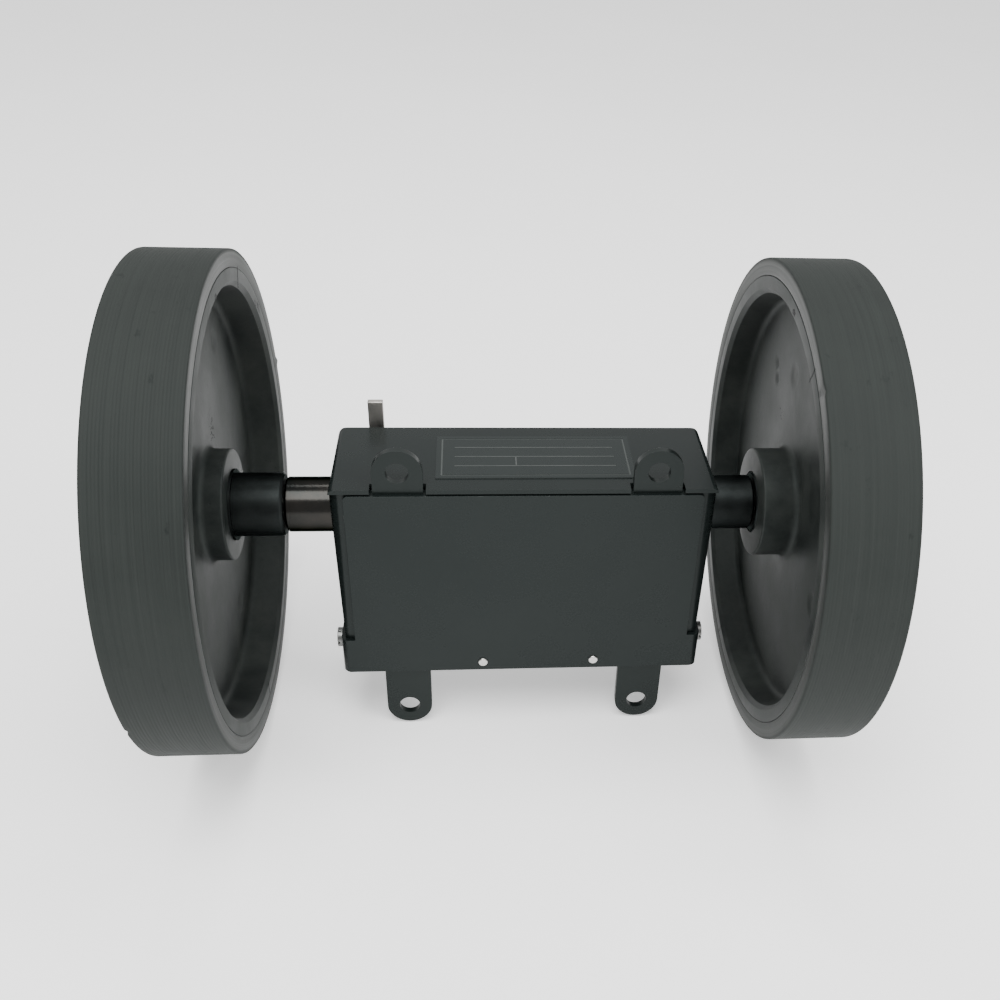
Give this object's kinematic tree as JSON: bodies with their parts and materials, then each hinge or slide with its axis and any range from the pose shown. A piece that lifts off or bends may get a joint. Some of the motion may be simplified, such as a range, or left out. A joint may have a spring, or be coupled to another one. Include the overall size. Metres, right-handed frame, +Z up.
{
  "type": "two-wheel length counter",
  "caption": "Black steel counter box on a through shaft with a rubber-tyred measuring wheel at each end, four mounting ears and a reset lever.",
  "frame": {"origin": "centre of the four ear holes, on the rear face of the ears", "axes": "+X along the wheel shaft, -Y out of the mounting side, +Y out of the digit window, +Z up through the nameplate face"},
  "size_m": [0.1565, 0.1061, 0.1103],
  "materials": {
    "case_paint": "satin black enamel",
    "bracket_paint": "satin black enamel",
    "bezel_paint": "satin black",
    "nameplate": "satin black with an engraved border",
    "window_clear": "clear polished acrylic",
    "tube_chrome": "polished black chrome",
    "hub_steel": "blackened",
    "shaft_steel": "ground",
    "frame_steel": "zinc plated",
    "screw_steel": "blackened",
    "rivet_steel": "bright",
    "lever_steel": "dull plated",
    "spring_steel": "bright",
    "wheel_moulding": "satin black moulding",
    "tyre_rubber": "ground matte rubber",
    "gear_brass": "machined",
    "drum_black": "satin black with pale digits",
    "drum_tenths": "satin red with pale digits",
    "pinion_plastic": "natural nylon"
  },
  "bodies": {
    "counter_case": {"housing_cover": "case_paint", "back_plate": "case_paint", "mounting_plate": "bracket_paint", "window_bezel": "bezel_paint", "nameplate": "nameplate", "window_lens": "window_clear", "left_bearing_tube": "tube_chrome", "right_bearing_tube": "tube_chrome", "side_screws": "screw_steel", "side_screw_nuts": "screw_steel", "plate_rivets": "rivet_steel", "left_frame_plate": "frame_steel", "right_frame_plate": "frame_steel", "frame_screws": "frame_steel", "tie_rods": "frame_steel", "tie_rod_screws": "frame_steel", "drum_shaft": "shaft_steel", "drum_shaft_circlips": "spring_steel", "pinion_shaft": "shaft_steel", "pinion_shaft_circlips": "spring_steel", "pinion_spacers": "shaft_steel", "idler_shaft": "shaft_steel", "idler_circlip": "spring_steel", "reset_spring": "spring_steel"},
    "wheel_shaft": {"main_shaft": "shaft_steel", "left_wheel_core": "wheel_moulding", "right_wheel_core": "wheel_moulding", "left_tyre": "tyre_rubber", "right_tyre": "tyre_rubber", "left_hub_sleeve": "hub_steel", "right_hub_sleeve": "hub_steel", "hub_grub_screws": "screw_steel", "drive_gear": "gear_brass", "drive_gear_pin": "shaft_steel", "shaft_circlips": "spring_steel"},
    "idler": {"idler_gear": "gear_brass", "idler_pinion": "gear_brass"},
    "reset_bar": {"reset_shaft": "shaft_steel", "reset_lever": "lever_steel", "reset_hammers": "frame_steel"},
    "drum_1_body": {"drum_1": "drum_tenths", "drum_drive_gear": "gear_brass"},
    "drum_2_body": {"drum_2": "drum_black"},
    "drum_3_body": {"drum_3": "drum_black"},
    "drum_4_body": {"drum_4": "drum_black"},
    "drum_5_body": {"drum_5": "drum_black"},
    "pinion_1_body": {"pinion_1": "pinion_plastic"},
    "pinion_2_body": {"pinion_2": "pinion_plastic"},
    "pinion_3_body": {"pinion_3": "pinion_plastic"},
    "pinion_4_body": {"pinion_4": "pinion_plastic"}
  },
  "joints": [
    {"name": "wheels_turn", "type": "hinge", "parent": "counter_case", "child": "wheel_shaft", "pos_m": [-0.0006, 0.0082, 0.01975], "axis": [1, 0, 0], "continuous": true},
    {"name": "idler_turn", "type": "hinge", "parent": "counter_case", "child": "idler", "pos_m": [-0.0006, 0.01432, 0.00772], "axis": [1, 0, 0], "continuous": true},
    {"name": "drum_1_turn", "type": "hinge", "parent": "counter_case", "child": "drum_1_body", "pos_m": [-0.0174, 0.0152, -0.00475], "axis": [1, 0, 0], "continuous": true},
    {"name": "drum_2_turn", "type": "hinge", "parent": "counter_case", "child": "drum_2_body", "pos_m": [-0.009, 0.0152, -0.00475], "axis": [1, 0, 0], "continuous": true},
    {"name": "drum_3_turn", "type": "hinge", "parent": "counter_case", "child": "drum_3_body", "pos_m": [-0.0006, 0.0152, -0.00475], "axis": [1, 0, 0], "continuous": true},
    {"name": "drum_4_turn", "type": "hinge", "parent": "counter_case", "child": "drum_4_body", "pos_m": [0.0078, 0.0152, -0.00475], "axis": [1, 0, 0], "continuous": true},
    {"name": "drum_5_turn", "type": "hinge", "parent": "counter_case", "child": "drum_5_body", "pos_m": [0.0162, 0.0152, -0.00475], "axis": [1, 0, 0], "continuous": true},
    {"name": "pinion_1_turn", "type": "hinge", "parent": "counter_case", "child": "pinion_1_body", "pos_m": [-0.0132, 0.00846, -0.0137], "axis": [1, 0, 0], "continuous": true},
    {"name": "pinion_2_turn", "type": "hinge", "parent": "counter_case", "child": "pinion_2_body", "pos_m": [-0.0048, 0.00846, -0.0137], "axis": [1, 0, 0], "continuous": true},
    {"name": "pinion_3_turn", "type": "hinge", "parent": "counter_case", "child": "pinion_3_body", "pos_m": [0.0036, 0.00846, -0.0137], "axis": [1, 0, 0], "continuous": true},
    {"name": "pinion_4_turn", "type": "hinge", "parent": "counter_case", "child": "pinion_4_body", "pos_m": [0.012, 0.00846, -0.0137], "axis": [1, 0, 0], "continuous": true},
    {"name": "reset_press", "type": "hinge", "parent": "counter_case", "child": "reset_bar", "pos_m": [-0.0006, 0.0217, 0.01825], "axis": [-1, 0, 0], "range_deg": [0, 12], "stiffness_Nm_per_rad": 0.04, "springref_deg": -20.05}
  ],
  "couplings": [
    {"joint": "idler_turn", "follows": "wheels_turn", "ratio": -0.5},
    {"joint": "drum_1_turn", "follows": "wheels_turn", "ratio": 0.33333},
    {"joint": "drum_2_turn", "follows": "wheels_turn", "ratio": 0.033333},
    {"joint": "drum_3_turn", "follows": "wheels_turn", "ratio": 0.0033333},
    {"joint": "drum_4_turn", "follows": "wheels_turn", "ratio": 0.00033333},
    {"joint": "drum_5_turn", "follows": "wheels_turn", "ratio": 0.000033333},
    {"joint": "pinion_1_turn", "follows": "wheels_turn", "ratio": -0.083333},
    {"joint": "pinion_2_turn", "follows": "wheels_turn", "ratio": -0.0083333},
    {"joint": "pinion_3_turn", "follows": "wheels_turn", "ratio": -0.00083333},
    {"joint": "pinion_4_turn", "follows": "wheels_turn", "ratio": -0.000083333}
  ]
}
